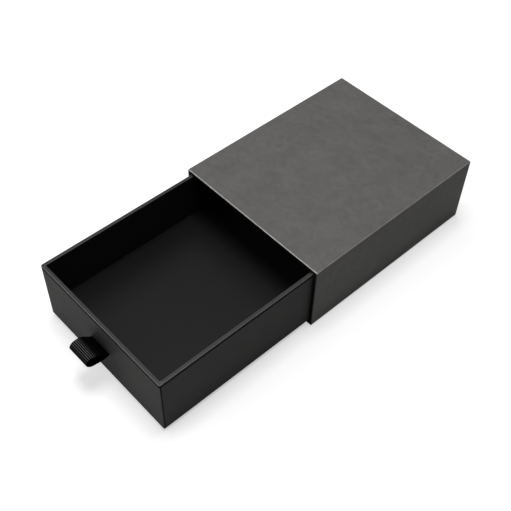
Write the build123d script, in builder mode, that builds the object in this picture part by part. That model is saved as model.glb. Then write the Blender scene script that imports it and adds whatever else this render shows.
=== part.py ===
from build123d import *
import os

os.makedirs("parts", exist_ok=True)

# Sliding drawer gift box: a paper-covered board drawer with a ribbon pull, in a
# paper-covered board sleeve that is open at the front. Millimetres, +Z up, front
# towards -Y, origin at the centre of the sleeve's underside. The drawer is shown
# pulled out, as far as drawer_out says.

# Sleeve, outside its paper
sleeve_width = 110.0
sleeve_depth = 135.0
sleeve_height = 48.0

# Sheet stock
board_thick = 2.0  # grey board of both shells
wrap_thick = 0.15  # covering paper
liner_thick = 0.10  # lining paper
tape_thick = 0.10  # paper tape over the board corners
ribbon_thick = 0.40  # corded ribbon

# Rounding of the boards. Paper that goes round an edge adds its own thickness.
fold_round = 0.65  # corners where two walls meet
rim_round = 0.30  # cut edges at the mouth, the rim and the back

# Sleeve papers
mouth_turn_in = 15.0  # covering paper turned into the mouth
under_flap = 14.0  # covering paper turned under the base, each side
back_flap = 12.0  # covering paper turned over the back
base_paper_inset = 1.5  # base paper short of the sleeve's edges
back_paper_inset = 2.0  # back paper short of the sleeve's edges
mouth_setback = 3.0  # lining starts this far inside the mouth

# Corner tapes
tape_leg = 9.0  # reach of the tape on each wall
tape_end = 1.5  # tape stops this far short of the shell's ends

# Running clearances of the drawer in the sleeve
side_gap = 0.30
under_gap = 0.10
top_gap = 0.35
end_gap = 0.40  # behind the drawer when it is shut

# Drawer
drawer_out = 107.5  # pulled out of the sleeve, as shown
rim_lap = 0.65  # lining folded down outside the rim
rim_seam = 0.30  # bare line between that lining and the covering paper
corner_seam = 0.20  # joint in the covering paper on the side walls
corner_seam_back = 1.0  # how far behind the corner that joint lies
corner_seam_depth = 0.10
floor_paper_inset = 0.30  # floor paper short of the lining on the walls
card_thick = 1.0  # black card of the raised floor
platform_height = 10.0  # raised floor, over the floor paper
platform_inset = 0.30  # its edges, short of the lining on the walls
platform_fold = 0.60  # outer rounding where its sides are folded down
platform_notch = 0.50  # its sides end this far short of meeting at the corners

# Ribbon pull
ribbon_width = 16.0
ribbon_offset = -0.8  # its middle, left of the drawer's middle
slit_above_base = 20.7  # slit's middle above the drawer's underside
slit_side_gap = 0.30
slit_height = 1.40
root_gap = 0.30  # loop outside the face, and tails inside it
tail_length = 12.0  # glued up and down behind the front board
patch_thick = 0.10  # paper patch over the tails
patch_margin = 3.0  # how far it goes beyond them, all round

# Middle line of the ribbon loop, from the slit: reach is outwards, rise is upwards.
# The upper layer runs straight to the bend, curves over to the crest, turns round
# the nose and comes back from the heel.
loop_bend_reach = 5.9
loop_bend_rise = 4.7
loop_crest_reach = 10.9
loop_crest_rise = 6.5
loop_heel_reach = 12.0
loop_heel_rise = 1.1

# Sleeve board shell: its outer faces, and the hollow between its walls
front_y = -sleeve_depth / 2
back_y = sleeve_depth / 2
shell_front = front_y + wrap_thick
shell_back = back_y - 2 * wrap_thick
shell_bottom = 2 * wrap_thick
shell_top = sleeve_height - wrap_thick
shell_width = sleeve_width - 2 * wrap_thick
shell_depth = shell_back - shell_front
shell_height = shell_top - shell_bottom
shell_mid_z = (shell_top + shell_bottom) / 2
hollow_width = shell_width - 2 * board_thick
hollow_height = shell_height - 2 * board_thick
hollow_floor = shell_bottom + board_thick
hollow_top = shell_top - board_thick
hollow_back = shell_back - board_thick
turn_in_end = shell_front + mouth_turn_in
mouth_width = hollow_width - 2 * wrap_thick
mouth_height = hollow_height - 2 * wrap_thick
lined_width = hollow_width - 2 * liner_thick
lined_height = hollow_height - 2 * liner_thick

# Drawer, outside its paper, fitted to the papered mouth of the sleeve
mouth_wall = board_thick + wrap_thick + liner_thick
drawer_width = shell_width - 2 * (mouth_wall + side_gap)
drawer_base = shell_bottom + mouth_wall + under_gap
drawer_top = shell_top - mouth_wall - top_gap
drawer_length = hollow_back - liner_thick - end_gap - front_y
drawer_front = front_y - drawer_out
drawer_back = drawer_front + drawer_length
drawer_mid = (drawer_front + drawer_back) / 2

# Drawer board shell
tray_width = drawer_width - 2 * wrap_thick
tray_length = drawer_length - 2 * wrap_thick
tray_front = drawer_front + wrap_thick
tray_back = drawer_back - wrap_thick
tray_bottom = drawer_base + wrap_thick
tray_top = drawer_top - liner_thick
tray_floor = tray_bottom + board_thick
inside_width = tray_width - 2 * board_thick
inside_length = tray_length - 2 * board_thick
inside_front = tray_front + board_thick
inside_back = tray_back - board_thick
platform_foot = tray_floor + liner_thick
platform_width = inside_width - 2 * (liner_thick + platform_inset)
platform_length = inside_length - 2 * (liner_thick + platform_inset)

# Ribbon slit, and the shallow bed for the tails and their patch behind it
slit_z = drawer_base + slit_above_base
slit_width = ribbon_width + 2 * slit_side_gap
tails_height = 2 * (ribbon_thick + tail_length)
patch_width = ribbon_width + 2 * patch_margin
patch_height = tails_height + 2 * patch_margin
patch_face = inside_front - patch_thick
bed_face = patch_face - ribbon_thick

standing = (Align.CENTER, Align.MIN, Align.MIN)
across = (Align.CENTER, Align.MIN, Align.CENTER)


def wall_board(shell, tapes, low, high):
    """One board of a shell: what the shell holds between two corners, let in for the tapes."""
    with BuildPart() as wall:
        with Locations(((low[0] + high[0]) / 2, low[1], low[2])):
            Box(high[0] - low[0], high[1] - low[1], high[2] - low[2], align=standing)
        add(shell.part, mode=Mode.INTERSECT)
        add(tapes.part, mode=Mode.SUBTRACT)
    return wall


# ---------------------------------------------------------------- sleeve boards

with BuildPart() as sleeve_shell:
    with BuildSketch(Plane.XZ.offset(-shell_front)):
        with Locations((0, shell_mid_z)):
            RectangleRounded(shell_width, shell_height, fold_round)
            Rectangle(hollow_width, hollow_height, mode=Mode.SUBTRACT)
    extrude(amount=-shell_depth)
    fillet(sleeve_shell.faces().sort_by(Axis.Y)[0].edges(), rim_round)
    fillet(sleeve_shell.faces().sort_by(Axis.Y)[-1].outer_wire().edges(), rim_round)

with BuildPart() as sleeve_corner_tapes:
    with BuildSketch(Plane.XZ.offset(-shell_front - tape_end)):
        with Locations((0, shell_mid_z)):
            RectangleRounded(shell_width, shell_height, fold_round)
            RectangleRounded(
                shell_width - 2 * tape_thick,
                shell_height - 2 * tape_thick,
                fold_round - tape_thick,
                mode=Mode.SUBTRACT,
            )
            Rectangle(shell_width - 2 * tape_leg, shell_height, mode=Mode.SUBTRACT)
            Rectangle(shell_width, shell_height - 2 * tape_leg, mode=Mode.SUBTRACT)
    extrude(amount=-(shell_depth - 2 * tape_end))

sleeve_bottom_board = wall_board(
    sleeve_shell,
    sleeve_corner_tapes,
    (-shell_width / 2, shell_front, shell_bottom),
    (shell_width / 2, shell_back, hollow_floor),
)
sleeve_top_board = wall_board(
    sleeve_shell,
    sleeve_corner_tapes,
    (-shell_width / 2, shell_front, hollow_top),
    (shell_width / 2, shell_back, shell_top),
)
sleeve_left_board = wall_board(
    sleeve_shell,
    sleeve_corner_tapes,
    (-shell_width / 2, shell_front, hollow_floor),
    (-hollow_width / 2, shell_back, hollow_top),
)
sleeve_right_board = wall_board(
    sleeve_shell,
    sleeve_corner_tapes,
    (hollow_width / 2, shell_front, hollow_floor),
    (shell_width / 2, shell_back, hollow_top),
)

# The back board stands between the other four, flush with their ends.
with BuildPart() as sleeve_back_board:
    with Locations((0, hollow_back, hollow_floor)):
        Box(hollow_width, board_thick, hollow_height, align=standing)

# --------------------------------------------------------------- sleeve papers

# Covering paper over the top and sides, turned under the base, over the back and
# into the mouth. Under the base and at the mouth's sill the base paper takes over.
with BuildPart() as sleeve_wrap:
    with BuildSketch(Plane.XZ.offset(-front_y)):
        with Locations((0, shell_mid_z)):
            RectangleRounded(sleeve_width, shell_height + 2 * wrap_thick, fold_round + wrap_thick)
    extrude(amount=-(sleeve_depth - wrap_thick))
    with BuildSketch(Plane.XZ.offset(-front_y)):
        with Locations((0, shell_mid_z)):
            Rectangle(mouth_width, mouth_height)
    extrude(amount=-(mouth_turn_in + wrap_thick), mode=Mode.SUBTRACT)
    fillet(sleeve_wrap.faces().sort_by(Axis.Y)[0].edges(), rim_round + wrap_thick)
    fillet(sleeve_wrap.faces().sort_by(Axis.Y)[-1].edges(), rim_round + wrap_thick)
    with Locations((0, turn_in_end, hollow_floor)):
        Box(hollow_width, shell_back - turn_in_end, hollow_height, align=standing, mode=Mode.SUBTRACT)
    with Locations((0, shell_back, shell_mid_z)):
        Box(
            shell_width - 2 * back_flap,
            wrap_thick,
            shell_height - 2 * back_flap,
            align=across,
            mode=Mode.SUBTRACT,
        )
    with Locations((0, front_y, wrap_thick)):
        Box(shell_width - 2 * under_flap, sleeve_depth, wrap_thick, align=standing, mode=Mode.SUBTRACT)
        Box(mouth_width, wrap_thick, board_thick + 2 * wrap_thick, align=standing, mode=Mode.SUBTRACT)
    with Locations((0, shell_front, hollow_floor)):
        Box(mouth_width, mouth_turn_in, wrap_thick, align=standing, mode=Mode.SUBTRACT)
    add(sleeve_shell.part, mode=Mode.SUBTRACT)

# Base paper: flat under the sleeve, thick enough in the middle to fill between the
# turned-under flaps, and folded up over the sill into the mouth.
with BuildPart() as sleeve_base_paper:
    with Locations((0, front_y, 0)):
        Box(mouth_width, mouth_turn_in + wrap_thick, hollow_floor + wrap_thick, align=standing)
    sill_edges = sleeve_base_paper.edges().filter_by(Axis.X).group_by(Axis.Y)[0]
    fillet(sill_edges, rim_round + wrap_thick)
    with Locations((0, shell_front + rim_round, 0)):
        Box(
            sleeve_width - 2 * base_paper_inset,
            shell_depth - rim_round - base_paper_inset,
            shell_bottom,
            align=standing,
        )
    add(sleeve_shell.part, mode=Mode.SUBTRACT)
    add(sleeve_wrap.part, mode=Mode.SUBTRACT)

# Back paper: covers the raw edges of the flaps and fills between them.
with BuildPart() as sleeve_back_paper:
    with Locations((0, shell_back, shell_mid_z)):
        Box(
            sleeve_width - 2 * back_paper_inset,
            2 * wrap_thick,
            shell_height - 2 * back_paper_inset,
            align=across,
        )
    add(sleeve_wrap.part, mode=Mode.SUBTRACT)

# Lining of the four walls: it laps over the turned-in paper at the mouth and steps
# out to the boards behind it.
with BuildPart() as sleeve_liner:
    with BuildSketch(Plane.XZ.offset(-front_y - mouth_setback)):
        with Locations((0, shell_mid_z)):
            Rectangle(mouth_width, mouth_height)
    extrude(amount=-(turn_in_end - front_y - mouth_setback))
    with BuildSketch(Plane.XZ.offset(-turn_in_end)):
        with Locations((0, shell_mid_z)):
            Rectangle(hollow_width, hollow_height)
    extrude(amount=-(hollow_back - turn_in_end))
    with BuildSketch(Plane.XZ.offset(-front_y)):
        with Locations((0, shell_mid_z)):
            Rectangle(mouth_width - 2 * liner_thick, mouth_height - 2 * liner_thick)
    extrude(amount=-(mouth_turn_in + wrap_thick + liner_thick), mode=Mode.SUBTRACT)
    with BuildSketch(Plane.XZ.offset(-turn_in_end - liner_thick)):
        with Locations((0, shell_mid_z)):
            Rectangle(lined_width, lined_height)
    extrude(amount=-(hollow_back - turn_in_end), mode=Mode.SUBTRACT)

with BuildPart() as sleeve_back_liner:
    with Locations((0, hollow_back - liner_thick, shell_mid_z)):
        Box(lined_width, liner_thick, lined_height, align=across)

# ------------------------------------------------------------------ ribbon pull

# The slit, and the shallow bed behind the front board that the tails are glued in.
with BuildPart() as ribbon_bed:
    with Locations((ribbon_offset, drawer_front - root_gap, slit_z)):
        Box(slit_width, board_thick + wrap_thick + root_gap, slit_height, align=across)
    with Locations((ribbon_offset, bed_face, slit_z)):
        Box(ribbon_width, ribbon_thick + patch_thick, tails_height, align=across)
    with Locations((ribbon_offset, patch_face, slit_z)):
        Box(patch_width, patch_thick, patch_height, align=across)

# The ribbon's two ends lie together in the slit and are glued up and down behind it.
with BuildPart() as ribbon_tails:
    with BuildSketch(Plane.YZ.offset(ribbon_offset)):
        with BuildLine():
            Polyline(
                (drawer_front + root_gap, slit_z),
                (patch_face, slit_z),
                (patch_face, slit_z + tails_height / 2),
                (bed_face, slit_z + tails_height / 2),
                (bed_face, slit_z + ribbon_thick),
                (drawer_front + root_gap, slit_z + ribbon_thick),
                close=True,
            )
        make_face()
    extrude(amount=ribbon_width / 2, both=True)
    mirror(about=Plane.XY.offset(slit_z))

with BuildPart() as ribbon_patch:
    with Locations((ribbon_offset, patch_face, slit_z)):
        Box(patch_width, patch_thick, patch_height, align=across)

# The loop outside: two layers that leave the slit together, open out and meet in a
# round nose.
with BuildPart() as pull_ribbon:
    with BuildSketch(Plane.YZ.offset(ribbon_offset)):
        with BuildLine():
            upper_layer = Line(
                (drawer_front - root_gap, slit_z + ribbon_thick / 2),
                (drawer_front - loop_bend_reach, slit_z + loop_bend_rise),
            )
            crest = TangentArc(
                upper_layer @ 1,
                (drawer_front - loop_crest_reach, slit_z + loop_crest_rise),
                tangent=upper_layer % 1,
            )
            nose = TangentArc(
                crest @ 1,
                (drawer_front - loop_heel_reach, slit_z + loop_heel_rise),
                tangent=crest % 1,
            )
            lower_layer = TangentArc(
                nose @ 1,
                (drawer_front - root_gap, slit_z - ribbon_thick / 2),
                tangent=nose % 1,
            )
        trace(line_width=ribbon_thick)
    extrude(amount=ribbon_width / 2, both=True)

# ---------------------------------------------------------------- drawer boards

with BuildPart() as tray_block:
    with BuildSketch(Plane.XY.offset(tray_bottom)):
        with Locations((0, drawer_mid)):
            RectangleRounded(tray_width, tray_length, fold_round)
    extrude(amount=tray_top - tray_bottom)
    fillet(tray_block.faces().sort_by(Axis.Z)[0].edges(), rim_round)

with BuildPart() as tray_shell:
    add(tray_block.part)
    with Locations((0, inside_front, tray_floor)):
        Box(inside_width, inside_length, tray_top - tray_floor, align=standing, mode=Mode.SUBTRACT)
    fillet(tray_shell.faces().sort_by(Axis.Z)[-1].edges(), rim_round)

with BuildPart() as drawer_corner_tapes:
    with BuildSketch(Plane.XY.offset(tray_bottom + tape_end)):
        with Locations((0, drawer_mid)):
            RectangleRounded(tray_width, tray_length, fold_round)
            RectangleRounded(
                tray_width - 2 * tape_thick,
                tray_length - 2 * tape_thick,
                fold_round - tape_thick,
                mode=Mode.SUBTRACT,
            )
            Rectangle(tray_width - 2 * tape_leg, tray_length, mode=Mode.SUBTRACT)
            Rectangle(tray_width, tray_length - 2 * tape_leg, mode=Mode.SUBTRACT)
    extrude(amount=tray_top - tray_bottom - 2 * tape_end)

drawer_bottom_board = wall_board(
    tray_shell,
    drawer_corner_tapes,
    (-tray_width / 2, tray_front, tray_bottom),
    (tray_width / 2, tray_back, tray_floor),
)
drawer_left_board = wall_board(
    tray_shell,
    drawer_corner_tapes,
    (-tray_width / 2, inside_front, tray_floor),
    (-inside_width / 2, inside_back, tray_top),
)
drawer_right_board = wall_board(
    tray_shell,
    drawer_corner_tapes,
    (inside_width / 2, inside_front, tray_floor),
    (tray_width / 2, inside_back, tray_top),
)
drawer_back_board = wall_board(
    tray_shell,
    drawer_corner_tapes,
    (-tray_width / 2, inside_back, tray_floor),
    (tray_width / 2, tray_back, tray_top),
)
front_wall = wall_board(
    tray_shell,
    drawer_corner_tapes,
    (-tray_width / 2, tray_front, tray_floor),
    (tray_width / 2, inside_front, tray_top),
)
with BuildPart() as drawer_front_board:
    add(front_wall.part)
    add(ribbon_bed.part, mode=Mode.SUBTRACT)

# --------------------------------------------------------------- drawer papers

# Covering paper over the base and the outside of the walls. It stops short of the
# lining's lap below the rim, and its joints lie on the side walls, near the corners.
with BuildPart() as drawer_wrap:
    with BuildSketch(Plane.XY.offset(drawer_base)):
        with Locations((0, drawer_mid)):
            RectangleRounded(drawer_width, drawer_length, fold_round + wrap_thick)
    extrude(amount=drawer_top - rim_lap - rim_seam - drawer_base)
    fillet(drawer_wrap.faces().sort_by(Axis.Z)[0].edges(), rim_round + wrap_thick)
    with Locations(
        *(
            (side * drawer_width / 2, end, drawer_base + rim_round + wrap_thick)
            for side in (-1, 1)
            for end in (drawer_front + corner_seam_back, drawer_back - corner_seam_back)
        )
    ):
        Box(
            2 * corner_seam_depth,
            corner_seam,
            drawer_top - drawer_base,
            align=(Align.CENTER, Align.CENTER, Align.MIN),
            mode=Mode.SUBTRACT,
        )
    add(tray_block.part, mode=Mode.SUBTRACT)
    add(ribbon_bed.part, mode=Mode.SUBTRACT)

# Lining of the walls: it stands on the floor board, goes over the rim and laps
# down outside it.
with BuildPart() as drawer_wall_liner:
    with BuildSketch(Plane.XY.offset(drawer_top - rim_lap)):
        with Locations((0, drawer_mid)):
            RectangleRounded(
                tray_width + 2 * liner_thick, tray_length + 2 * liner_thick, fold_round + liner_thick
            )
    extrude(amount=rim_lap)
    with Locations((0, inside_front, tray_floor)):
        Box(inside_width, inside_length, tray_top - tray_floor, align=standing)
    with Locations((0, inside_front + liner_thick, tray_floor)):
        Box(
            inside_width - 2 * liner_thick,
            inside_length - 2 * liner_thick,
            drawer_top - tray_floor,
            align=standing,
            mode=Mode.SUBTRACT,
        )
    fillet(drawer_wall_liner.faces().sort_by(Axis.Z)[-1].edges(), rim_round + liner_thick)
    add(tray_shell.part, mode=Mode.SUBTRACT)

with BuildPart() as drawer_floor_liner:
    with Locations((0, drawer_mid, tray_floor)):
        Box(
            inside_width - 2 * (liner_thick + floor_paper_inset),
            inside_length - 2 * (liner_thick + floor_paper_inset),
            liner_thick,
            align=(Align.CENTER, Align.CENTER, Align.MIN),
        )

# Raised floor: one card whose four sides are folded down to stand on the floor paper.
# The sides don't meet at the corners.
with BuildPart() as drawer_platform:
    with Locations((0, drawer_mid, platform_foot)):
        Box(
            platform_width,
            platform_length,
            platform_height,
            align=(Align.CENTER, Align.CENTER, Align.MIN),
        )
    fillet(drawer_platform.faces().sort_by(Axis.Z)[-1].edges(), platform_fold)
    with Locations((0, drawer_mid, platform_foot)):
        Box(
            platform_width - 2 * card_thick,
            platform_length - 2 * card_thick,
            platform_height - card_thick,
            align=(Align.CENTER, Align.CENTER, Align.MIN),
            mode=Mode.SUBTRACT,
        )
    with Locations((0, drawer_mid, platform_foot)):
        with GridLocations(platform_width, platform_length, 2, 2):
            Box(
                2 * (card_thick + platform_notch),
                2 * (card_thick + platform_notch),
                platform_height - card_thick,
                align=(Align.CENTER, Align.CENTER, Align.MIN),
                mode=Mode.SUBTRACT,
            )

# ------------------------------------------------------------------------ files

pieces = {
    "sleeve_bottom_board": sleeve_bottom_board,
    "sleeve_top_board": sleeve_top_board,
    "sleeve_left_board": sleeve_left_board,
    "sleeve_right_board": sleeve_right_board,
    "sleeve_back_board": sleeve_back_board,
    "sleeve_corner_tapes": sleeve_corner_tapes,
    "sleeve_wrap": sleeve_wrap,
    "sleeve_base_paper": sleeve_base_paper,
    "sleeve_back_paper": sleeve_back_paper,
    "sleeve_liner": sleeve_liner,
    "sleeve_back_liner": sleeve_back_liner,
    "drawer_bottom_board": drawer_bottom_board,
    "drawer_front_board": drawer_front_board,
    "drawer_back_board": drawer_back_board,
    "drawer_left_board": drawer_left_board,
    "drawer_right_board": drawer_right_board,
    "drawer_corner_tapes": drawer_corner_tapes,
    "drawer_wrap": drawer_wrap,
    "drawer_wall_liner": drawer_wall_liner,
    "drawer_floor_liner": drawer_floor_liner,
    "drawer_platform": drawer_platform,
    "ribbon_tails": ribbon_tails,
    "ribbon_patch": ribbon_patch,
    "pull_ribbon": pull_ribbon,
}

for name, piece in pieces.items():
    piece.part.label = name
    export_step(piece.part, f"parts/{name}.step")
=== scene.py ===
"""Dresses the packed sliding drawer gift box: papers, boards, corded ribbon pull and a plain studio."""

import math

import bmesh
import bpy
import numpy as np
from mathutils import Matrix, Vector


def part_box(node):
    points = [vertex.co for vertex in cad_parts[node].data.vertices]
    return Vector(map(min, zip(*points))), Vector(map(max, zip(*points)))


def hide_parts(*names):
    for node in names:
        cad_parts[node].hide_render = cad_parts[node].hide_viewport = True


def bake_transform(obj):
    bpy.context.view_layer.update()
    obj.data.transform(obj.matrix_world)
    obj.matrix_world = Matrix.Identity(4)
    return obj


bl_info = {
    "name": "Sliding Drawer Gift Box",
    "version": (1, 0, 0),
    "blender": (4, 5, 0),
    "location": "3D View > Sidebar > Gift Box",
    "description": "Papers, boards, ribbon pull and studio of a gift box whose drawer slides in a sleeve",
    "category": "Object",
}

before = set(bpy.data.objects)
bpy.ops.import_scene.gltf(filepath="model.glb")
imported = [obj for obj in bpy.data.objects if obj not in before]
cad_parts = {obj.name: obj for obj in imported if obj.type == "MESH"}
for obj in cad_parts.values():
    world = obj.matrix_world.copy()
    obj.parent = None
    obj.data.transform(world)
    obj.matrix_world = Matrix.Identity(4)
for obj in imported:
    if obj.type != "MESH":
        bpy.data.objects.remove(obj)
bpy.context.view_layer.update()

MM = 0.001


# Places on the packed model -------------------------------------------------


def around(*nodes):
    """Lowest and highest corner of several nodes together."""
    corners = [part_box(n) for n in nodes]
    low = Vector(min(c[0][i] for c in corners) for i in range(3))
    high = Vector(max(c[1][i] for c in corners) for i in range(3))
    return low, high


sleeve_low, sleeve_high = around("sleeve_wrap", "sleeve_base_paper")
drawer_low, drawer_high = around("drawer_wrap", "drawer_wall_liner")
wrap_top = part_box("drawer_wrap")[1].z
card_low, card_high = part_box("drawer_platform")
loop_low, loop_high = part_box("pull_ribbon")
tails_low, tails_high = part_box("ribbon_tails")
slit = Vector(((loop_low.x + loop_high.x) / 2, drawer_low.y, (tails_low.z + tails_high.z) / 2))

WALL = 2.25 * MM  # the drawer's wall with its papers
ON_FACE = 0.3 * MM  # how near a face counts as on it


# Shader building ------------------------------------------------------------


def put(tree, kind, ins=None, **settings):
    """A new node with its settings, its values set and its links made."""
    node = tree.nodes.new(kind)
    for name, value in settings.items():
        setattr(node, name, value)
    for name, value in (ins or {}).items():
        if isinstance(value, bpy.types.NodeSocket):
            tree.links.new(value, node.inputs[name])
        else:
            node.inputs[name].default_value = value
    return node


def calc(tree, operation, *values, clamp=False):
    """One step of arithmetic."""
    node = put(tree, "ShaderNodeMath", dict(enumerate(values)), operation=operation, use_clamp=clamp)
    return node.outputs[0]


def ranged(tree, value, low, high, to_low, to_high, smooth=False):
    """A value brought from one range to another, and kept inside it."""
    kind = "SMOOTHSTEP" if smooth else "LINEAR"
    ins = {"Value": value, "From Min": low, "From Max": high, "To Min": to_low, "To Max": to_high}
    return put(tree, "ShaderNodeMapRange", ins, interpolation_type=kind).outputs["Result"]


def distance_from(tree, value, place):
    """How far a value is from a place, on either side."""
    return calc(tree, "ABSOLUTE", calc(tree, "SUBTRACT", value, place))


def swayed(tree, tone, noise, middle, weight, clamp=False):
    """A tone moved by weight times how far a noise is from its middle."""
    return calc(tree, "MULTIPLY_ADD", calc(tree, "SUBTRACT", noise, middle), weight, tone, clamp=clamp)


def split(tree, vector):
    """The three parts of a vector."""
    return put(tree, "ShaderNodeSeparateXYZ", {"Vector": vector}).outputs


def object_place(tree):
    return put(tree, "ShaderNodeTexCoord").outputs["Object"]


def cloudy(tree, at, size, detail=2.0, roughness=0.5, swirl=0.0):
    """Noise whose lumps are about size across, in metres, drawn out into swirls."""
    ins = {"Vector": at, "Scale": 1 / size, "Detail": detail, "Roughness": roughness, "Distortion": swirl}
    return put(tree, "ShaderNodeTexNoise", ins).outputs["Fac"]


def fibres(tree, at, width, length, turn):
    """Noise drawn out to fibres of that width and length, turned, and tilted off the box's faces."""
    ins = {"Vector": at, "Rotation": (0.4, 0.3, turn), "Scale": (1 / width, 1 / length, 1 / width)}
    laid = put(tree, "ShaderNodeMapping", ins).outputs["Vector"]
    return put(tree, "ShaderNodeTexNoise", {"Vector": laid, "Scale": 1.0, "Detail": 1.5}).outputs["Fac"]


def mixed(tree, share, below, above):
    """A colour between two, by share."""
    return put(tree, "ShaderNodeMix", {0: share, 6: below, 7: above}, data_type="RGBA").outputs[2]


def toned(tree, tone, colour, darkest, palest):
    """A colour times darkest where tone is 0, and times palest where it is 1."""
    dark, pale = ([min(1, c * k) for c in colour[:3]] + [1] for k in (darkest, palest))
    return mixed(tree, tone, dark, pale)


def scaled(tree, colour, scale):
    """A colour made darker or paler by a factor."""
    return put(tree, "ShaderNodeVectorMath", {0: colour, "Scale": scale}, operation="SCALE").outputs["Vector"]


def new_material(name):
    """A material with its tree and its bare shader."""
    made = bpy.data.materials.new(name)
    made.use_nodes = True
    tree = made.node_tree
    tree.nodes.clear()
    shader = put(tree, "ShaderNodeBsdfPrincipled")
    put(tree, "ShaderNodeOutputMaterial", {"Surface": shader.outputs["BSDF"]})
    return made, tree, shader


def surface(tree, shader, colour, rough, height, tooth, strength=0.8, gloss=0.5):
    """Puts a colour, a roughness and a height that is tooth deep on a shader."""
    bump = put(tree, "ShaderNodeBump", {"Height": height, "Distance": tooth, "Strength": strength})
    tree.links.new(colour, shader.inputs["Base Color"])
    tree.links.new(rough, shader.inputs["Roughness"])
    tree.links.new(bump.outputs["Normal"], shader.inputs["Normal"])
    shader.inputs["Specular IOR Level"].default_value = gloss


def dress(material, *nodes):
    """Gives CAD nodes a material."""
    for node in nodes:
        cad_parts[node].data.materials.clear()
        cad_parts[node].data.materials.append(material)


# Papers ---------------------------------------------------------------------


def fold_wear_and_painted_light(tree, at, edges, reach):
    """Sum of what a few straight edges add: each its strength on the edge, falling to 0 at reach.

    An edge is where two planes meet, each an axis and its value; X is taken on either side.
    """
    # What it adds is painted light: highlights along the edges, partly rubbing wear, and painted shade where
    # a strength is below 0.
    x, y, z = split(tree, at)
    axes = {"X": calc(tree, "ABSOLUTE", x), "Y": y, "Z": z}
    total = 0.0
    for *planes, strength in edges:
        farther = calc(tree, "MAXIMUM", *[distance_from(tree, axes[axis], value) for axis, value in planes])
        total = calc(tree, "ADD", ranged(tree, farther, 0.0, reach, strength, 0.0, smooth=True), total)
    return total


def covering_paper(name, look, folds=(), patches=()):
    """Dyed paper: swirled clouds, crossed fibres, a fine tooth, and folds made smoother and paler or darker.

    The folds' colour is partly rubbing wear and partly painted highlights, and painted shade where a
    fold's strength is below 0. folds are edges for fold_wear_and_painted_light. Each patch is a colour,
    a roughness and a function that makes its mask from the tree and the place.
    """
    made, tree, shader = new_material(name)
    at = object_place(tree)
    clouds = cloudy(tree, at, 22 * MM)
    mottle = cloudy(tree, at, look.swirl, roughness=0.45, swirl=1.6)
    tooth = cloudy(tree, at, 0.32 * MM, detail=3.0, roughness=0.6)
    one_way = fibres(tree, at, width=0.16 * MM, length=1.3 * MM, turn=0.6)
    other_way = fibres(tree, at, width=0.2 * MM, length=1.0 * MM, turn=-0.9)
    felt = calc(tree, "MAXIMUM", one_way, other_way)
    tone = swayed(tree, 0.5, clouds, middle=0.5, weight=0.8)
    tone = swayed(tree, tone, mottle, middle=0.5, weight=1.5)
    tone = swayed(tree, tone, felt, middle=0.56, weight=0.7, clamp=True)
    colour = toned(tree, tone, look.colour, 1 - look.mottle, 1 + look.mottle)
    uneven = look.mottle / 4
    rough = ranged(tree, mottle, 0.3, 0.7, look.roughness - uneven, look.roughness + uneven)
    for patch_colour, patch_roughness, mask in patches:
        share = mask(tree, at)
        colour = mixed(tree, share, colour, toned(tree, tone, patch_colour, 0.92, 1.08))
        rough = calc(tree, "MULTIPLY_ADD", share, calc(tree, "SUBTRACT", patch_roughness, rough), rough)
    # Folds made paler are partly rubbing wear and partly painted highlights; below 0 they are painted shade.
    if folds:
        patchy = ranged(tree, cloudy(tree, at, 5 * MM, detail=3.0), 0.3, 0.7, 0.7, 1.0)
        wear_and_painted_light = calc(tree, "MULTIPLY", fold_wear_and_painted_light(tree, at, folds, look.fold), patchy)
        colour = scaled(tree, colour, calc(tree, "MAXIMUM", calc(tree, "ADD", wear_and_painted_light, 1.0), 0.1))
        rough = calc(tree, "MULTIPLY_ADD", calc(tree, "MINIMUM", wear_and_painted_light, 1.0), -look.polish, rough)
    height = calc(tree, "MULTIPLY_ADD", felt, 0.7, tooth)
    surface(tree, shader, colour, rough, height, look.tooth, gloss=look.gloss)
    return made


def above(height, soft):
    """Mask of what stands above a height."""

    def mask(tree, at):
        return ranged(tree, split(tree, at)["Z"], height - soft / 2, height + soft / 2, 0.0, 1.0)

    return mask


def joint(side_x, at_y, half):
    """Mask of an upright paper joint on either side wall."""

    def mask(tree, at):
        x, y, _ = split(tree, at)
        outside = calc(tree, "GREATER_THAN", calc(tree, "ABSOLUTE", x), side_x - ON_FACE)
        near = ranged(tree, distance_from(tree, y, at_y), half, 2 * half, 1.0, 0.0)
        return calc(tree, "MULTIPLY", outside, near)

    return mask


def in_the_mouth(low, high, edge, depth, soft=0.12 * MM):
    """Mask of the paper that goes round the mouth's edge: further in than edge, no deeper than depth."""

    def mask(tree, at):
        axes = split(tree, at)
        inside = []
        for axis, lowest, highest in (("X", low.x, high.x), ("Z", low.z, high.z)):
            off = distance_from(tree, axes[axis], (lowest + highest) / 2)
            inside.append(calc(tree, "SUBTRACT", (highest - lowest) / 2, off))
        within = ranged(tree, calc(tree, "MINIMUM", *inside), edge, edge + soft, 0.0, 1.0)
        return calc(tree, "MULTIPLY", within, calc(tree, "LESS_THAN", axes["Y"], low.y + depth))

    return mask


# Boards and tapes -----------------------------------------------------------


def raw_board(name, colour):
    """Grey board: pulp clouds, dark and pale recycled specks and pressed fibres."""
    made, tree, shader = new_material(name)
    at = object_place(tree)
    pulp = cloudy(tree, at, 3.0 * MM, detail=4.0, roughness=0.6)
    felt = fibres(tree, at, width=0.25 * MM, length=1.6 * MM, turn=0.3)
    speck = cloudy(tree, at, 0.7 * MM)
    tone = swayed(tree, pulp, felt, middle=0.5, weight=0.7, clamp=True)
    base = toned(tree, tone, colour, 0.82, 1.15)
    inked = [c * 0.45 for c in colour[:3]] + [1]
    base = mixed(tree, ranged(tree, speck, 0.68, 0.74, 0.0, 0.6), base, inked)
    rough = ranged(tree, pulp, 0.3, 0.7, 0.82, 0.94)
    surface(tree, shader, base, rough, calc(tree, "ADD", felt, pulp), tooth=0.05 * MM, gloss=0.3)
    return made


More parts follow.
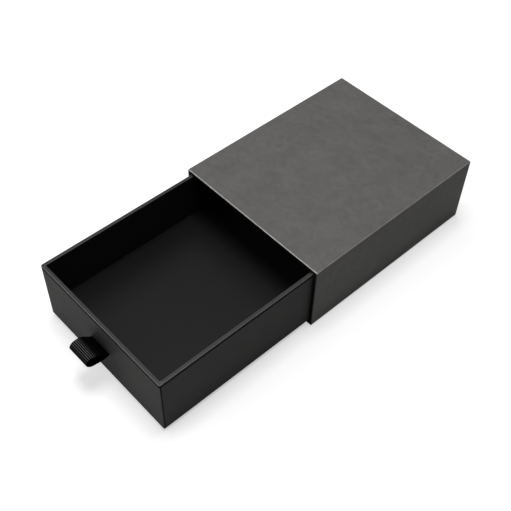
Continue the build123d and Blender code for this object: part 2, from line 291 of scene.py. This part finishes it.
def kraft_tape(name, colour):
    """Gummed kraft paper with long brown fibres."""
    made, tree, shader = new_material(name)
    at = object_place(tree)
    felt = fibres(tree, at, width=0.12 * MM, length=2.2 * MM, turn=0.15)
    blotch = cloudy(tree, at, 5 * MM, detail=3.0)
    tone = swayed(tree, blotch, felt, middle=0.5, weight=0.9, clamp=True)
    rough = ranged(tree, felt, 0.3, 0.7, 0.5, 0.66)
    surface(tree, shader, toned(tree, tone, colour, 0.78, 1.2), rough, felt, tooth=0.03 * MM, strength=0.7)
    return made


# Ribbon ---------------------------------------------------------------------

# Middle of the ribbon's thickness as (reach out of the front, rise above the slit's middle), in mm,
# from the end of the upper tail round the loop to the end of the lower tail.
UPPER_TAIL = ((-1.85, 12.4), (-1.85, 6.0), (-1.85, 1.7), (-1.6, 0.55), (-0.8, 0.26))
LOWER_TAIL = ((-0.8, -0.26), (-1.6, -0.55), (-1.85, -1.7), (-1.85, -6.0), (-1.85, -12.4))
LEFT_LOOP = (
    (0.8, 0.8),
    (3.1, 2.6),
    (6.2, 5.2),
    (9.9, 6.0),
    (13.1, 4.7),
    (13.9, 2.1),
    (12.0, 0.4),
    (7.8, -0.6),
    (3.4, -0.9),
    (1.0, -0.55),
)
RIGHT_LOOP = (
    (0.8, 0.8),
    (3.3, 2.7),
    (6.6, 5.4),
    (9.9, 6.8),
    (13.0, 6.4),
    (14.2, 3.8),
    (12.4, 0.9),
    (7.9, -0.5),
    (3.4, -0.95),
    (1.0, -0.55),
)


def placed(name, data):
    """A new object at the origin of the scene."""
    made = bpy.data.objects.new(name, data)
    bpy.context.scene.collection.objects.link(made)
    return made


def meshed(name, bm):
    """A mesh made of a bmesh, which is freed."""
    mesh = bpy.data.meshes.new(name)
    bm.to_mesh(mesh)
    bm.free()
    return mesh


def even_line(points, count):
    """Points at even lengths along a smooth curve through a few given ones, and its length."""
    curve = bpy.data.curves.new("ribbon_line", "CURVE")
    curve.dimensions = "3D"
    curve.resolution_u = 24
    spline = curve.splines.new("BEZIER")
    spline.bezier_points.add(len(points) - 1)
    for knot, (reach, rise) in zip(spline.bezier_points, points):
        knot.co = (reach * MM, rise * MM, 0)
        knot.handle_left_type = knot.handle_right_type = "AUTO"
    holder = placed("ribbon_line", curve)
    bpy.context.view_layer.update()
    mesh = bpy.data.meshes.new_from_object(holder)
    line = np.array([v.co[:2] for v in mesh.vertices])
    bpy.data.objects.remove(holder)
    bpy.data.curves.remove(curve)
    bpy.data.meshes.remove(mesh)
    run = np.concatenate(([0.0], np.cumsum(np.linalg.norm(np.diff(line, axis=0), axis=1))))
    steps = np.linspace(0, run[-1], count)
    return np.stack([np.interp(steps, run, line[:, i]) for i in (0, 1)], axis=1), run[-1]


def looped_ribbon(look):
    """A flat strip with real cords, laid round the loop's line and through the slit to its glued tails."""
    steps = 1200
    parts_of_cord, parts_across = 8, 20
    hem = 0.7 * MM  # the cords die away this near the strip's two edges
    free_run = 2.5 * MM  # and in the slit, from this far out of it
    fullness = 0.8  # below 1, a cord is fuller than a plain wave
    furrow = 0.6  # share of a cord's height that lies below the strip's own face
    hem_body = 0.7  # share of the strip's thickness that is left at its edges
    scallop = 0.05 * MM  # how far a cord pushes the edge out
    left, left_length = even_line(UPPER_TAIL + LEFT_LOOP + LOWER_TAIL, steps)
    right, right_length = even_line(UPPER_TAIL + RIGHT_LOOP + LOWER_TAIL, steps)
    length = (left_length + right_length) / 2
    width = loop_high.x - loop_low.x
    cords = round(length / look.cord_pitch)

    bm = bmesh.new()
    bmesh.ops.create_grid(bm, x_segments=cords * parts_of_cord, y_segments=parts_across, size=0.5)
    bmesh.ops.scale(bm, vec=(length, width, 1), verts=bm.verts)
    strip = bm.loops.layers.uv.new("Strip")
    bmesh.ops.solidify(bm, geom=bm.faces[:], thickness=look.thickness)
    bmesh.ops.recalc_face_normals(bm, faces=bm.faces)
    low = min(v.co.z for v in bm.verts)
    for face in bm.faces:
        for loop in face.loops:
            loop[strip].uv = (loop.vert.co.y, (loop.vert.co.x / length + 0.5) * cords * look.cord_pitch)
    for vert in bm.verts:
        along = vert.co.x / length + 0.5
        across = vert.co.y / width + 0.5
        side = 1 if vert.co.z > low + look.thickness / 2 else -1
        place = along * (steps - 1)
        at = int(min(place, steps - 2))
        share = place - at
        here = [line[at] * (1 - share) + line[at + 1] * share for line in (left, right)]
        back, ahead = max(at - 3, 0), min(at + 4, steps - 1)
        slope = [line[ahead] - line[back] for line in (left, right)]
        point = here[0] * (1 - across) + here[1] * across
        run = slope[0] * (1 - across) + slope[1] * across
        out = Vector((-run[1], run[0])).normalized()
        free = min(1, max(0, point[0] / free_run))
        edge = min(1, (0.5 - abs(across - 0.5)) * width / hem)
        swell = abs(math.cos(math.pi * along * cords)) ** fullness
        body = look.thickness / 2 * (hem_body + (1 - hem_body) * math.sqrt(edge))
        cord = look.cord_height * free * (swell - furrow) * edge
        off = side * (body + cord)
        pushed = (1 - edge) * scallop * free * swell * (1 if across > 0.5 else -1)
        vert.co = (
            slit.x + (across - 0.5) * width + pushed,
            slit.y - point[0] - out.x * off,
            slit.z + point[1] + out.y * off,
        )
    bmesh.ops.recalc_face_normals(bm, faces=bm.faces)
    mesh = meshed("ribbon_loop", bm)
    mesh.shade_smooth()
    return placed("ribbon_loop", mesh), length


def corded_ribbon_weave(name, look):
    """Black ribbon: warp threads that pass over and under the cords, on the strip's own lengths.

    Painted shade lies in the weave's hollows and the furrows, and painted highlights on the cords' crowns,
    strongest in a painted highlight band across the loop's crest.
    """
    thread_pitch = 0.2 * MM
    crest_highlight_full, crest_highlight_end = 0.8 * MM, 4.2 * MM  # from the crest
    made, tree, shader = new_material(name)
    across, along, _ = split(tree, put(tree, "ShaderNodeUVMap", uv_map="Strip").outputs["UV"])
    thread = calc(tree, "SINE", calc(tree, "MULTIPLY", across, 2 * math.pi / thread_pitch))
    passing = calc(tree, "SINE", calc(tree, "MULTIPLY", across, math.pi / thread_pitch))
    turn = calc(tree, "MULTIPLY", along, math.pi / look.cord_pitch)
    over = calc(tree, "MULTIPLY", passing, calc(tree, "SINE", turn))
    crown = calc(tree, "ABSOLUTE", calc(tree, "COSINE", turn))
    fuzz = cloudy(tree, object_place(tree), 0.15 * MM, detail=3.0)
    height = calc(tree, "MULTIPLY_ADD", over, 0.6, calc(tree, "MULTIPLY_ADD", thread, 0.4, fuzz))
    # Higher threads paler and lower ones darker: painted shade in the weave's hollows.
    colour = toned(tree, ranged(tree, height, -0.5, 1.5, 0.0, 1.0), look.colour, 0.7, 1.3)
    # The cords' crowns painted pale as highlights, the furrows near black as painted shade.
    crown_highlight = ranged(tree, crown, 0.86, 0.99, 0.01, 1.0, smooth=True)
    # A painted highlight band across the loop's crest, near black away from it.
    from_crest = distance_from(tree, along, look.crest)
    paler = ranged(tree, from_crest, crest_highlight_full, crest_highlight_end, 1.0, 0.03, smooth=True)
    colour = scaled(tree, colour, calc(tree, "MULTIPLY", crown_highlight, paler))
    rough = ranged(tree, crown, 0.5, 0.97, 0.95, 0.35, smooth=True)
    surface(tree, shader, colour, rough, height, tooth=0.015 * MM, strength=0.7, gloss=look.gloss)
    return made


# Settings -------------------------------------------------------------------


def colour_setting(name, description, red, green, blue):
    colour = (red, green, blue, 1)
    return bpy.props.FloatVectorProperty(
        name=name, description=description, default=colour, size=4, min=0, max=1, subtype="COLOR"
    )


def share_setting(name, description, default):
    return bpy.props.FloatProperty(
        name=name, description=description, default=default, min=0, max=1, subtype="FACTOR"
    )


def length_setting(name, description, default):
    return bpy.props.FloatProperty(
        name=name, description=description, default=default, min=0, precision=5, unit="LENGTH"
    )


def power_setting(name, description, default):
    return bpy.props.FloatProperty(name=name, description=description, default=default, min=0, unit="POWER")


def angle_setting(name, description, degrees):
    return bpy.props.FloatProperty(
        name=name, description=description, default=math.radians(degrees), subtype="ANGLE"
    )


def place_setting(name, description, default):
    return bpy.props.FloatVectorProperty(
        name=name, description=description, default=default, precision=5, subtype="TRANSLATION"
    )


def group_setting(kind, name):
    return bpy.props.PointerProperty(type=kind, name=name, description=kind.__doc__)


# In the papers' settings, the rubbed folds are partly wear and partly painted highlights along the edges.
class SleevePaper(bpy.types.PropertyGroup):
    """Charcoal covering paper of the sleeve"""

    colour: colour_setting("Colour", "Mean colour of the dyed paper", 0.130, 0.1275, 0.122)
    mottle: share_setting("Mottle", "How far clouds and fibres leave the mean colour", 0.14)
    roughness: share_setting("Roughness", "Mean roughness of the surface", 0.6)
    gloss: share_setting("Gloss", "Strength of the surface's reflection", 0.2)
    polish: share_setting("Fold polish", "How much smoother the rubbed folds are", 0.2)
    fold: length_setting("Fold width", "How far from an edge its fold is rubbed", 0.9 * MM)
    swirl: length_setting("Swirl", "Size of the dye's swirls", 8 * MM)
    tooth: length_setting("Tooth", "Height of the paper's fine tooth", 0.03 * MM)


class DrawerPaper(bpy.types.PropertyGroup):
    """Soft-black covering paper of the drawer"""

    colour: colour_setting("Colour", "Mean colour of the dyed paper", 0.0388, 0.0388, 0.0375)
    mottle: share_setting("Mottle", "How far clouds and fibres leave the mean colour", 0.14)
    roughness: share_setting("Roughness", "Mean roughness of the surface", 0.6)
    gloss: share_setting("Gloss", "Strength of the surface's reflection", 0.2)
    polish: share_setting("Fold polish", "How much smoother the rubbed folds are", 0.22)
    fold: length_setting("Fold width", "How far from an edge its fold is rubbed", 0.9 * MM)
    swirl: length_setting("Swirl", "Size of the dye's swirls", 6 * MM)
    tooth: length_setting("Tooth", "Height of the paper's fine tooth", 0.025 * MM)


class LiningPaper(bpy.types.PropertyGroup):
    """Black lining paper of the sleeve and the drawer"""

    colour: colour_setting("Colour", "Mean colour of the dyed paper", 0.015, 0.015, 0.0148)
    mottle: share_setting("Mottle", "How far clouds and fibres leave the mean colour", 0.12)
    roughness: share_setting("Roughness", "Mean roughness of the surface", 0.5)
    gloss: share_setting("Gloss", "Strength of the surface's reflection", 0.4)
    polish: share_setting("Fold polish", "How much smoother the rubbed folds are", 0.22)
    fold: length_setting("Fold width", "How far from an edge its fold is rubbed", 0.6 * MM)
    swirl: length_setting("Swirl", "Size of the dye's swirls", 6 * MM)
    tooth: length_setting("Tooth", "Height of the paper's fine tooth", 0.025 * MM)


class PlatformCard(bpy.types.PropertyGroup):
    """Satin black card of the drawer's raised floor"""

    colour: colour_setting("Colour", "Mean colour of the dyed card", 0.005, 0.005, 0.005)
    mottle: share_setting("Mottle", "How far clouds and fibres leave the mean colour", 0.05)
    roughness: share_setting("Roughness", "Mean roughness of the surface", 0.42)
    gloss: share_setting("Gloss", "Strength of the surface's reflection", 0.17)
    polish: share_setting("Fold polish", "How much smoother the rubbed folds are", 0.22)
    fold: length_setting("Fold width", "How far from an edge its fold is rubbed", 0.5 * MM)
    swirl: length_setting("Swirl", "Size of the dye's swirls", 6 * MM)
    tooth: length_setting("Tooth", "Height of the card's fine tooth", 0.015 * MM)


class PullRibbon(bpy.types.PropertyGroup):
    """Corded ribbon of the pull"""

    # The colour shows on the cords' crowns as a painted highlight, strongest in the painted highlight band.
    colour: colour_setting("Colour", "Colour of the threads on the rubbed cords", 0.125, 0.125, 0.126)
    gloss: share_setting("Gloss", "Strength of the threads' reflection", 0.06)
    thickness: length_setting("Thickness", "Thickness of the ribbon between its cords", 0.4 * MM)
    cord_pitch: length_setting("Cord pitch", "Distance from cord to cord", 1.08 * MM)
    cord_height: length_setting("Cord height", "How far a cord stands over its furrow", 0.22 * MM)
    # Centre of the painted highlight band along the strip.
    crest: length_setting("Crest", "Where along the strip fingers have rubbed it paler", 26 * MM)


class Studio(bpy.types.PropertyGroup):
    """Floor, lamps and camera"""

    floor: colour_setting("Floor", "Colour of the floor", 0.72, 0.72, 0.72)
    floor_white: share_setting("Floor white", "What the floor adds near the box, seen by the camera", 0.53)
    shadow_reach: length_setting("Shadow reach", "How far round the box the floor keeps its shade", 0.25)
    key: power_setting("Key", "Power of the lamp over the box", 5.95)
    rear: power_setting("Rear", "Power of the lamp high on the left, behind the box for the camera", 2.0)
    front: power_setting("Front", "Power of the broad lamp in front on the left", 6.9)
    fill: share_setting("Fill", "Strength of the studio's own pale light", 0.03)
    azimuth: angle_setting("Azimuth", "Camera's angle from the front, to the right", 46.003)
    elevation: angle_setting("Elevation", "Camera's angle above the table", 49.383)
    roll: angle_setting("Roll", "Camera's turn about its own line of sight", 1.798)
    aim: place_setting("Aim", "Point that the camera looks at", (-2.556 * MM, -58.946 * MM, 6.673 * MM))
    distance: length_setting("Distance", "From the camera to the point it looks at", 531.164 * MM)
    lens: bpy.props.FloatProperty(
        name="Lens", description="Focal length in millimetres", default=60.611, min=1
    )


class GiftBox(bpy.types.PropertyGroup):
    """Everything that the box and its studio are dressed with"""

    sleeve: group_setting(SleevePaper, "Sleeve paper")
    drawer: group_setting(DrawerPaper, "Drawer paper")
    lining: group_setting(LiningPaper, "Lining")
    card: group_setting(PlatformCard, "Card")
    board: colour_setting("Board", "Mean colour of the grey board", 0.06, 0.057, 0.053)
    tape: colour_setting("Tape", "Mean colour of the kraft tapes", 0.52, 0.40, 0.26)
    ribbon: group_setting(PullRibbon, "Ribbon")
    studio: group_setting(Studio, "Studio")


# Operators ------------------------------------------------------------------


class GIFTBOX_OT_sleeve(bpy.types.Operator):
    """Papers of the sleeve"""

    bl_idname = "giftbox.sleeve"
    bl_label = "Sleeve papers"

    def execute(self, context):
        # The mouth's end faces and the first 20 mm inside are painted near black: painted shade where the
        # drawer shades them, partly also the black lining turned over the edge.
        in_shade = (0.002, 0.002, 0.002)
        mouth = in_the_mouth(sleeve_low, sleeve_high, edge=0.25 * MM, depth=20 * MM)
        side, front, back = sleeve_high.x, sleeve_low.y, sleeve_high.y
        top, base = sleeve_high.z, sleeve_low.z
        # Folds: the top edges and the back upright edges painted paler as highlights, partly rubbing wear;
        # the front upright edges and the bottom side edges painted darker as shade.
        folds = (
            (("Y", front), ("Z", top), 3.6),
            (("X", side), ("Z", top), 1.8),
            (("Y", back), ("Z", top), 1.8),
            (("X", side), ("Y", back), 1.2),
            (("X", side), ("Y", front), -0.6),
            (("X", side), ("Z", base), -0.5),
        )
        look = context.scene.gift_box.sleeve
        paper = covering_paper("sleeve_paper_charcoal", look, folds, [(in_shade, 0.9, mouth)])
        dress(paper, "sleeve_wrap", "sleeve_base_paper", "sleeve_back_paper")
        return {"FINISHED"}


class GIFTBOX_OT_drawer(bpy.types.Operator):
    """Covering paper of the drawer, with painted shade along the seam below its rim and its two pairs of dark
    joints
    """

    bl_idname = "giftbox.drawer"
    bl_label = "Drawer paper"

    def execute(self, context):
        in_shade = (0.002, 0.002, 0.002)
        seam_shade_height, joint_off, joint_half = 1.2 * MM, 0.7 * MM, 0.2 * MM
        side, front, back, base = drawer_high.x, drawer_low.y, drawer_high.y, drawer_low.z
        # Folds: the upright corners painted paler as highlights, partly rubbing wear; the bottom edges of the
        # sides and front painted darker as shade.
        folds = (
            (("X", side), ("Y", front), 0.5),
            (("X", side), ("Y", back), 1.6),
            (("X", side), ("Z", base), -0.6),
            (("Y", front), ("Z", base), -0.6),
        )
        # Near black: a band of painted shade below the rim's seam, and the two pairs of dark paper joints.
        masks = (
            above(wrap_top - seam_shade_height, soft=0.3 * MM),
            joint(side, front + joint_off, joint_half),
            joint(side, back - joint_off, joint_half),
        )
        look = context.scene.gift_box.drawer
        dark = [(in_shade, 1.0, mask) for mask in masks]
        dress(covering_paper("drawer_paper_black", look, folds, dark), "drawer_wrap")
        return {"FINISHED"}


class GIFTBOX_OT_lining(bpy.types.Operator):
    """Lining papers of the sleeve and the drawer, and the card of the drawer's raised floor"""

    bl_idname = "giftbox.lining"
    bl_label = "Linings"

    def execute(self, context):
        self.paper(context.scene.gift_box.lining)
        self.platform(context.scene.gift_box.card)
        return {"FINISHED"}

    def paper(self, look):
        rim_colour = (0.0225, 0.0225, 0.0219)
        side, front, back, top = drawer_high.x, drawer_low.y, drawer_high.y, drawer_high.z
        rim = above(top - 0.24 * MM, soft=0.12 * MM)
        # Folds: the rim's outer and inner edges painted paler as highlights, partly rubbing wear.
        folds = (
            (("X", side), ("Z", top), 7.0),
            (("Y", front), ("Z", top), 7.0),
            (("Y", back), ("Z", top), 7.0),
            (("X", side - WALL), ("Z", top), 1.5),
            (("Y", front + WALL), ("Z", top), 1.5),
            (("Y", back - WALL), ("Z", top), 1.5),
        )
        paper = covering_paper("lining_paper_black", look, folds, [(rim_colour, look.roughness, rim)])
        dress(paper, "sleeve_liner", "sleeve_back_liner", "drawer_wall_liner", "drawer_floor_liner")

    def platform(self, look):
        top = card_high.z
        # Folds: the card's top edges painted paler as highlights, partly rubbing wear.
        folds = (
            (("X", card_high.x), ("Z", top), 8.0),
            (("Y", card_low.y), ("Z", top), 3.0),
            (("Y", card_high.y), ("Z", top), 3.0),
        )
        dress(covering_paper("platform_card_black", look, folds), "drawer_platform")


class GIFTBOX_OT_boards(bpy.types.Operator):
    """Grey boards of the sleeve and the drawer"""

    bl_idname = "giftbox.boards"
    bl_label = "Grey boards"

    def execute(self, context):
        board = raw_board("grey_board_raw", context.scene.gift_box.board)
        dress(board, *[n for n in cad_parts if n.endswith("_board")])
        return {"FINISHED"}


class GIFTBOX_OT_tapes(bpy.types.Operator):
    """Kraft tapes over the board corners, and the patch over the ribbon's tails"""

    bl_idname = "giftbox.tapes"
    bl_label = "Kraft tapes"

    def execute(self, context):
        tape = kraft_tape("kraft_tape_gummed", context.scene.gift_box.tape)
        dress(tape, "sleeve_corner_tapes", "drawer_corner_tapes", "ribbon_patch")
        return {"FINISHED"}


class GIFTBOX_OT_ribbon(bpy.types.Operator):
    """Ribbon pull: the loop and its tails through the slit"""

    bl_idname = "giftbox.ribbon"
    bl_label = "Ribbon pull"

    def execute(self, context):
        look = context.scene.gift_box.ribbon
        ribbon, length = looped_ribbon(look)
        weave = corded_ribbon_weave("ribbon_weave_black", look)
        ribbon.data.materials.append(weave)
        dress(weave, "pull_ribbon", "ribbon_tails")
        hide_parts("pull_ribbon", "ribbon_tails")
        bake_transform(ribbon)
        return {"FINISHED"}


# Lamps as (name, place, what it points at, width, setting of its power).
LAMPS = (
    ("key_light", (0.0, -0.04, 1.06), (0, -0.06, 0.02), 0.4, "key"),
    ("rear_light", (-0.5, 0.08, 0.86), (0, -0.1, 0.02), 0.8, "rear"),
    ("front_light", (-0.5, -1.05, 0.72), (0, -0.1, 0.02), 1.3, "front"),
)


class GIFTBOX_OT_studio(bpy.types.Operator):
    """Floor, backdrop light, lamps and camera"""

    bl_idname = "giftbox.studio"
    bl_label = "Studio"

    def execute(self, context):
        look = context.scene.gift_box.studio
        self.floor(look)
        self.surroundings(context, look)
        for name, place, target, width, power in LAMPS:
            self.lamp(name, place, target, width, getattr(look, power))
        self.camera(context, look)
        context.scene.view_settings.view_transform = "Standard"
        return {"FINISHED"}

    def seen(self, tree):
        """1 for what the camera sees, straight or through something clear, and 0 for other rays."""
        rays = put(tree, "ShaderNodeLightPath").outputs
        return calc(tree, "MAXIMUM", rays["Is Camera Ray"], rays["Is Transmission Ray"])

    def floor(self, look):
        """A floor whose shade shows near the box, and which turns white further off."""
        half_width = 3
        bm = bmesh.new()
        bmesh.ops.create_grid(bm, x_segments=1, y_segments=1, size=half_width)
        floor = placed("floor", meshed("floor", bm))
        made, tree, shader = new_material("floor_white")
        shader.inputs["Base Color"].default_value = look.floor
        shader.inputs["Roughness"].default_value = 0.9
        shader.inputs["Specular IOR Level"].default_value = 0.0
        away = put(tree, "ShaderNodeVectorMath", {0: object_place(tree)}, operation="LENGTH").outputs["Value"]
        near, far = look.shadow_reach, 4 * look.shadow_reach
        white = ranged(tree, away, near, far, look.floor_white, 1.0, smooth=True)
        strength = calc(tree, "MULTIPLY", self.seen(tree), white)
        glow = put(tree, "ShaderNodeEmission", {"Color": (1, 1, 1, 1), "Strength": strength})
        both = put(tree, "ShaderNodeAddShader", {0: shader.outputs["BSDF"], 1: glow.outputs["Emission"]})
        output = next(n for n in tree.nodes if n.type == "OUTPUT_MATERIAL")
        tree.links.new(both.outputs[0], output.inputs["Surface"])
        floor.data.materials.append(made)

    def surroundings(self, context, look):
        world = bpy.data.worlds.new("studio")
        context.scene.world = world
        world.use_nodes = True
        tree = world.node_tree
        tree.nodes.clear()
        strength = ranged(tree, self.seen(tree), 0.0, 1.0, look.fill, 1.0)
        sky = put(tree, "ShaderNodeBackground", {"Color": (1, 1, 1, 1), "Strength": strength})
        put(tree, "ShaderNodeOutputWorld", {"Surface": sky.outputs["Background"]})

    def lamp(self, name, place, target, width, power):
        light = bpy.data.lights.new(name, "AREA")
        light.shape = "SQUARE"
        light.size = width
        light.energy = power
        lamp = placed(name, light)
        lamp.location = place
        lamp.rotation_euler = (Vector(place) - Vector(target)).to_track_quat("Z", "Y").to_euler()

    def camera(self, context, look):
        """The photograph's view: the camera on a sphere round the point it looks at, then rolled."""
        level = math.cos(look.elevation)
        back = Vector(
            (math.sin(look.azimuth) * level, -math.cos(look.azimuth) * level, math.sin(look.elevation))
        )
        data = bpy.data.cameras.new("camera")
        data.lens = look.lens
        data.sensor_width = 36
        data.clip_start, data.clip_end = 0.01, 20
        data.dof.use_dof = False
        camera = placed("camera", data)
        facing = back.to_track_quat("Z", "Y").to_matrix() @ Matrix.Rotation(look.roll, 3, "Z")
        place = Vector(look.aim) + back * look.distance
        camera.matrix_world = Matrix.Translation(place) @ facing.to_4x4()
        context.scene.camera = camera


STEPS = (
    GIFTBOX_OT_studio,
    GIFTBOX_OT_boards,
    GIFTBOX_OT_tapes,
    GIFTBOX_OT_drawer,
    GIFTBOX_OT_lining,
    GIFTBOX_OT_sleeve,
    GIFTBOX_OT_ribbon,
)


class GIFTBOX_PT_sidebar(bpy.types.Panel):
    """Builds the box's looks step by step"""

    bl_idname = "GIFTBOX_PT_sidebar"
    bl_label = "Gift Box"
    bl_space_type = "VIEW_3D"
    bl_region_type = "UI"
    bl_category = "Gift Box"

    def draw(self, context):
        column = self.layout.column()
        for step in STEPS:
            column.operator(step.bl_idname)
        look = context.scene.gift_box
        column.prop(look, "board")
        column.prop(look, "tape")
        for part in (look.sleeve, look.drawer, look.lining, look.card, look.ribbon, look.studio):
            box = column.box()
            for name in part.__annotations__:
                box.prop(part, name)


SETTINGS = (SleevePaper, DrawerPaper, LiningPaper, PlatformCard, PullRibbon, Studio, GiftBox)
CLASSES = (*SETTINGS, *STEPS, GIFTBOX_PT_sidebar)


def register():
    for each in CLASSES:
        bpy.utils.register_class(each)
    bpy.types.Scene.gift_box = bpy.props.PointerProperty(type=GiftBox)


def unregister():
    del bpy.types.Scene.gift_box
    for each in reversed(CLASSES):
        bpy.utils.unregister_class(each)


def main():
    register()
    for step in STEPS:
        group, action = step.bl_idname.split(".")
        getattr(getattr(bpy.ops, group), action)()


if __name__ == "__main__":
    main()
